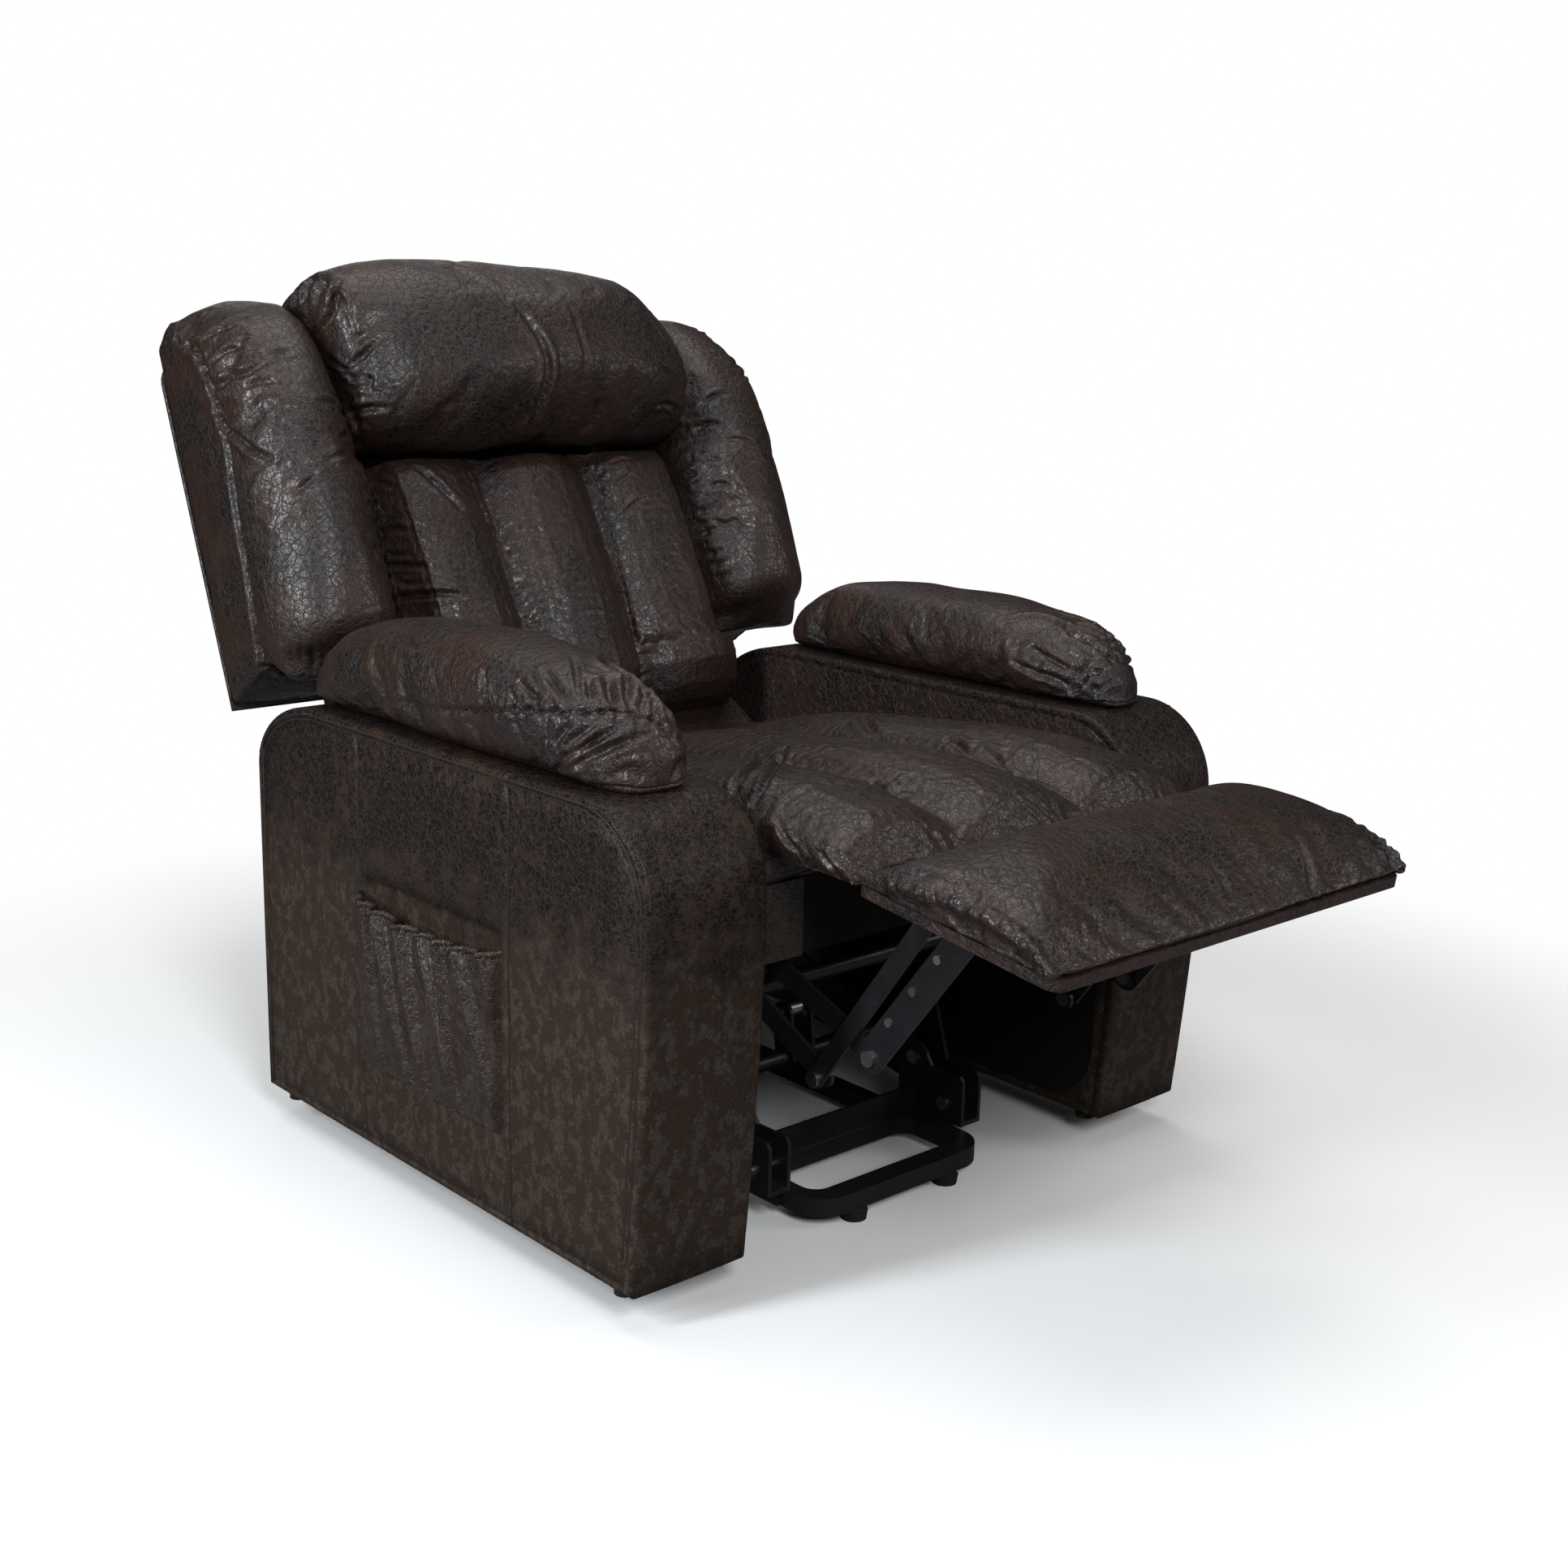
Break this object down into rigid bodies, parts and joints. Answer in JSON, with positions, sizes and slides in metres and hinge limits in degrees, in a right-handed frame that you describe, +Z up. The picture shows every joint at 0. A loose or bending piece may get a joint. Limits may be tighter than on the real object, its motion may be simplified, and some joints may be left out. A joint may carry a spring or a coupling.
{
  "type": "powered lift recliner chair",
  "caption": "Padded leather-look lift recliner with raised footrest links, channelled seat and back, head pillow, wings, padded arms, side pocket and a lifting steel base.",
  "frame": {"origin": "centre of the bounding box at floor level, with the footrest out and the chair down", "axes": "+X towards the sitter's left arm, -Y the way the sitter faces, +Z up"},
  "size_m": [0.9315, 1.4793, 1.0859],
  "materials": {
    "black_steel": "satin",
    "zinc": "satin",
    "rubber": "matte",
    "motor_plastic": "matte",
    "control_plastic": "satin",
    "button_plastic": "matte",
    "timber": "matte",
    "webbing": "matte",
    "black_cloth": "matte",
    "leather": "satin"
  },
  "bodies": {
    "base": {"base_loop": "black_steel", "base_rear_bar": "black_steel", "base_towers": "black_steel", "base_feet": "rubber", "base_bolts": "zinc", "motor_bracket": "black_steel", "lift_motor_housing": "motor_plastic", "lift_motor_tube": "zinc"},
    "lift_front": {"lift_front_links": "black_steel"},
    "lift_rear": {"lift_rear_links": "black_steel", "lift_cross_tube": "black_steel"},
    "lift_rod": {"lift_push_rod": "zinc"},
    "chassis": {"side_plates": "black_steel", "mech_cross_tubes": "black_steel", "mech_bolts": "zinc", "seat_frame": "timber", "seat_webbing": "webbing", "seat_cushion": "leather", "seat_apron": "black_cloth", "apron_ends": "leather", "arm_box_right": "leather", "arm_box_left": "leather", "arm_pad_right": "leather", "arm_pad_left": "leather", "arm_inner_panels": "black_cloth", "arm_liners": "leather", "arm_glides": "rubber", "pocket": "leather", "hand_control": "control_plastic", "control_box": "motor_plastic", "power_inlet": "motor_plastic", "recline_motor": "motor_plastic", "recline_motor_tube": "zinc", "back_hinge_bolts": "zinc"},
    "raise_button": {"button_raise": "button_plastic"},
    "lower_button": {"button_lower": "button_plastic"},
    "footrest_rod": {"recline_push_rod": "zinc"},
    "flap": {"seat_flap": "leather"},
    "lower_rear": {"lower_links_rear": "black_steel", "drive_shaft": "black_steel", "drive_tube": "black_steel", "knee_bolts_rear": "zinc"},
    "lower_front": {"lower_links_front": "black_steel", "knee_bolts_front": "zinc"},
    "upper_rear": {"upper_links_rear": "black_steel"},
    "upper_front": {"upper_links_front": "black_steel", "link_rivets": "zinc"},
    "footrest": {"footrest_brackets": "black_steel", "footrest_bolts": "zinc", "footrest_board": "timber", "footrest_edge": "leather", "footrest_pad": "leather"},
    "back": {"back_hinge_arms": "black_steel", "back_frame": "timber", "back_webbing": "webbing", "back_rear_panel": "leather", "back_cushion": "leather", "head_pillow": "leather", "wing_right": "leather", "wing_left": "leather"}
  },
  "joints": [
    {"name": "lift", "type": "hinge", "parent": "base", "child": "lift_front", "pos_m": [0, -0.207, 0.063], "axis": [1, 0, 0], "range_deg": [0, 60.3]},
    {"name": "lift_chassis_pivot", "type": "hinge", "parent": "lift_front", "child": "chassis", "pos_m": [0, 0.0515, 0.111], "axis": [1, 0, 0], "range_deg": [-36.2, 0]},
    {"name": "lift_rear_pivot", "type": "hinge", "parent": "base", "child": "lift_rear", "pos_m": [0, -0.153, 0.1103], "axis": [1, 0, 0], "range_deg": [0, 51.2]},
    {"name": "lift_rod_slide", "type": "slide", "parent": "base", "child": "lift_rod", "axis": [0, -0.9397, 0.342], "range_m": [0, 0.0938]},
    {"name": "footrest_fold", "type": "hinge", "parent": "chassis", "child": "lower_rear", "pos_m": [0, -0.099, 0.3538], "axis": [1, 0, 0], "range_deg": [0, 66.3]},
    {"name": "lower_front_pivot", "type": "hinge", "parent": "chassis", "child": "lower_front", "pos_m": [0, -0.135, 0.392], "axis": [1, 0, 0], "range_deg": [0, 69.4]},
    {"name": "knee_rear_pivot", "type": "hinge", "parent": "lower_rear", "child": "upper_rear", "pos_m": [0, -0.348, 0.231], "axis": [1, 0, 0], "range_deg": [-52, 0]},
    {"name": "knee_front_pivot", "type": "hinge", "parent": "lower_front", "child": "upper_front", "pos_m": [0, -0.431, 0.28], "axis": [1, 0, 0], "range_deg": [-56.5, 0]},
    {"name": "footrest_tilt", "type": "hinge", "parent": "upper_rear", "child": "footrest", "pos_m": [0, -0.516, 0.465], "axis": [1, 0, 0], "range_deg": [0, 65.8]},
    {"name": "flap_fold", "type": "hinge", "parent": "chassis", "child": "flap", "pos_m": [0, -0.32, 0.478], "axis": [1, 0, 0], "range_deg": [0, 76.3]},
    {"name": "footrest_rod_slide", "type": "slide", "parent": "chassis", "child": "footrest_rod", "axis": [0, 1, 0], "range_m": [0, 0.0592]},
    {"name": "back_recline", "type": "hinge", "parent": "chassis", "child": "back", "pos_m": [0, 0.306, 0.44], "axis": [-1, 0, 0], "range_deg": [-7, 35]},
    {"name": "raise_button_press", "type": "slide", "parent": "chassis", "child": "raise_button", "axis": [1, 0, 0], "range_m": [0, 0.0014], "stiffness_N_per_m": 300},
    {"name": "lower_button_press", "type": "slide", "parent": "chassis", "child": "lower_button", "axis": [1, 0, 0], "range_m": [0, 0.0014], "stiffness_N_per_m": 300}
  ],
  "couplings": [
    {"joint": "lift_chassis_pivot", "follows": "lift", "ratio": -0.59579},
    {"joint": "lift_rear_pivot", "follows": "lift", "ratio": 0.84521},
    {"joint": "lift_rod_slide", "follows": "lift", "m_per_rad": 0.088698},
    {"joint": "lower_front_pivot", "follows": "footrest_fold", "ratio": 1.0437},
    {"joint": "knee_rear_pivot", "follows": "footrest_fold", "ratio": -0.7813},
    {"joint": "knee_front_pivot", "follows": "footrest_fold", "ratio": -0.84842},
    {"joint": "footrest_tilt", "follows": "footrest_fold", "ratio": 0.98793},
    {"joint": "flap_fold", "follows": "footrest_fold", "ratio": 1.1463},
    {"joint": "footrest_rod_slide", "follows": "footrest_fold", "m_per_rad": 0.050799}
  ]
}
